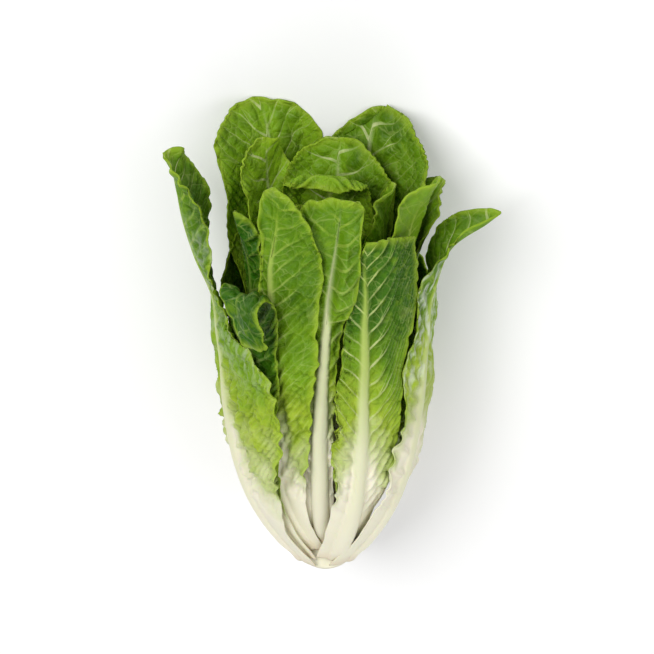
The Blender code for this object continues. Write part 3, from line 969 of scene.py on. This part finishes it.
def metres(name, description, default):
    """A property that holds a length in metres."""
    return bpy.props.FloatProperty(name=name, description=description, default=default, unit="LENGTH")


def tint(name, description, *screen):
    """A property that holds a colour, with its default as a screen colour."""
    return bpy.props.FloatVectorProperty(
        name=name, description=description, subtype="COLOR", size=4, default=colour(*screen))


class LettuceSettings(bpy.types.PropertyGroup):
    """Sizes and colours that a user would change."""

    blade_thickness: metres("Blade thickness", "Thickness of the leaf blades", 0.0008)
    vein_height: metres("Vein height", "How far the side veins stand out", 0.0008)
    puff_height: metres("Puff height", "Depth of the puffs between the veins", 0.0016)
    swell_height: metres("Swell height", "Depth of the broad dents of the blades", 0.0035)
    crinkle_height: metres("Crinkle height", "Depth of the folds low on the blades", 0.0022)
    base_colour: tint("Base", "Colour of the ribs low down and of the stem", 234, 230, 206)
    lime_colour: tint("Lime", "Colour where the blade turns green", 156, 180, 48)
    light_green: tint("Light green", "Colour of the lightest blades", 124, 164, 24)
    deep_green: tint("Deep green", "Colour of the darkest blades", 60, 104, 6)
    light_power: bpy.props.FloatProperty(
        name="Light power", description="Power of the main soft light", default=16.0, unit="POWER")


class LETTUCE_OT_stage(bpy.types.Operator):
    """Add the pale floor, the soft lights and the camera"""

    bl_idname = "lettuce.stage"
    bl_label = "Stage"

    def execute(self, context):
        build_stage(context.scene, context.scene.lettuce)
        return {"FINISHED"}


class LETTUCE_OT_stem(bpy.types.Operator):
    """Add the stem with its cut face"""

    bl_idname = "lettuce.stem"
    bl_label = "Stem"

    def execute(self, context):
        add_stem(context.scene.lettuce)
        return {"FINISHED"}


class LETTUCE_OT_heart_leaves(bpy.types.Operator):
    """Add the small leaves inside the head"""

    bl_idname = "lettuce.heart_leaves"
    bl_label = "Heart leaves"

    def execute(self, context):
        return add_leaves(HEART_LEAVES, context)


class LETTUCE_OT_back_leaves(bpy.types.Operator):
    """Add the tall leaves at the back of the rosette"""

    bl_idname = "lettuce.back_leaves"
    bl_label = "Back leaves"

    def execute(self, context):
        return add_leaves(BACK_LEAVES, context)


class LETTUCE_OT_front_leaves(bpy.types.Operator):
    """Add the leaves of the upper side"""

    bl_idname = "lettuce.front_leaves"
    bl_label = "Front leaves"

    def execute(self, context):
        return add_leaves(FRONT_LEAVES, context)


class LETTUCE_OT_side_leaves(bpy.types.Operator):
    """Add the leaves of both sides, with the two that lean out"""

    bl_idname = "lettuce.side_leaves"
    bl_label = "Side leaves"

    def execute(self, context):
        return add_leaves(SIDE_LEAVES, context)


class LETTUCE_OT_under_leaves(bpy.types.Operator):
    """Add the outer leaves that the head lies on"""

    bl_idname = "lettuce.under_leaves"
    bl_label = "Under leaves"

    def execute(self, context):
        return add_leaves(UNDER_LEAVES, context)


class LETTUCE_PT_panel(bpy.types.Panel):
    """Lists the sizes, the colours and the pieces"""

    bl_idname = "LETTUCE_PT_panel"
    bl_label = "Romaine lettuce"
    bl_space_type = "VIEW_3D"
    bl_region_type = "UI"
    bl_category = "Lettuce"

    def draw(self, context):
        for name in LettuceSettings.__annotations__:
            self.layout.prop(context.scene.lettuce, name)
        for operator in OPERATORS:
            self.layout.operator(operator.bl_idname)


# Camera: tilted from straight above towards the tips, with the foot of the stem at STEM_PIXEL
CAMERA_TILT = np.radians(30.0)
CAMERA_DISTANCE = 1.3
PHOTO_SIZE = 654.0
MM_PER_PIXEL = 0.53
STEM_PIXEL = (326.0, 555.0)
SENSOR_WIDTH = 36.0

# Stage: each light has a name, a place, a size and a share of the light power
FLOOR_WIDTH = 6.0
SKY_STRENGTH = 0.36
LIGHTS = (
    ("key", (-0.6, 0.75, 1.15), 0.8, 0.95),
    ("fill", (0.9, 0.1, 0.9), 1.1, 0.28),
    ("base", (0.1, -0.9, 1.0), 1.0, 0.32),
)


def build_stage(scene, settings):
    """A pale floor, soft lights round the head, and the camera at the photo's angle."""
    bpy.ops.mesh.primitive_plane_add(size=FLOOR_WIDTH, location=(0.0, 0.0, 0.0))
    floor = bpy.context.object
    floor.name = "floor"
    wires = Wires("pale_floor")
    wires.shader.inputs["Base Color"].default_value = (0.95, 0.95, 0.95, 1.0)
    wires.shader.inputs["Roughness"].default_value = 0.9
    floor.data.materials.append(wires.material)

    world = scene.world or bpy.data.worlds.new("soft_sky")
    scene.world = world
    world.use_nodes = True
    sky = world.node_tree.nodes["Background"]
    sky.inputs["Color"].default_value = (1.0, 1.0, 1.0, 1.0)
    sky.inputs["Strength"].default_value = SKY_STRENGTH
    scene.view_settings.view_transform = "Standard"
    for name, place, size, share in LIGHTS:
        data = bpy.data.lights.new(name, "AREA")
        data.size = size
        data.energy = settings.light_power * share
        lamp = bpy.data.objects.new(name, data)
        lamp.location = place
        lamp.rotation_euler = (-Vector(place)).to_track_quat("-Z", "Y").to_euler()
        scene.collection.objects.link(lamp)

    out = Vector((0.0, np.sin(CAMERA_TILT), np.cos(CAMERA_TILT)))
    up = Vector((0.0, np.cos(CAMERA_TILT), -np.sin(CAMERA_TILT)))
    right = up.cross(out)
    scale = MM_PER_PIXEL * MM
    aim = Vector(head_offset() * MM)
    aim += up * (STEM_PIXEL[1] - PHOTO_SIZE / 2.0) * scale
    aim -= right * (STEM_PIXEL[0] - PHOTO_SIZE / 2.0) * scale
    data = bpy.data.cameras.new("camera")
    data.sensor_width = SENSOR_WIDTH
    data.lens = SENSOR_WIDTH * CAMERA_DISTANCE / (PHOTO_SIZE * scale)
    camera = bpy.data.objects.new("camera", data)
    turn = Matrix((right, up, out)).transposed()
    camera.matrix_world = Matrix.Translation(aim + out * CAMERA_DISTANCE) @ turn.to_4x4()
    scene.collection.objects.link(camera)
    scene.camera = camera


OPERATORS = (
    LETTUCE_OT_stage,
    LETTUCE_OT_stem,
    LETTUCE_OT_heart_leaves,
    LETTUCE_OT_back_leaves,
    LETTUCE_OT_front_leaves,
    LETTUCE_OT_side_leaves,
    LETTUCE_OT_under_leaves,
)
CLASSES = (LettuceSettings, *OPERATORS, LETTUCE_PT_panel)


def register():
    for item in CLASSES:
        bpy.utils.register_class(item)
    bpy.types.Scene.lettuce = bpy.props.PointerProperty(type=LettuceSettings)


def unregister():
    del bpy.types.Scene.lettuce
    for item in reversed(CLASSES):
        bpy.utils.unregister_class(item)


def main():
    register()
    bpy.ops.lettuce.stage()
    bpy.ops.lettuce.stem()
    bpy.ops.lettuce.heart_leaves()
    bpy.ops.lettuce.back_leaves()
    bpy.ops.lettuce.front_leaves()
    bpy.ops.lettuce.side_leaves()
    bpy.ops.lettuce.under_leaves()


if __name__ == "__main__":
    main()
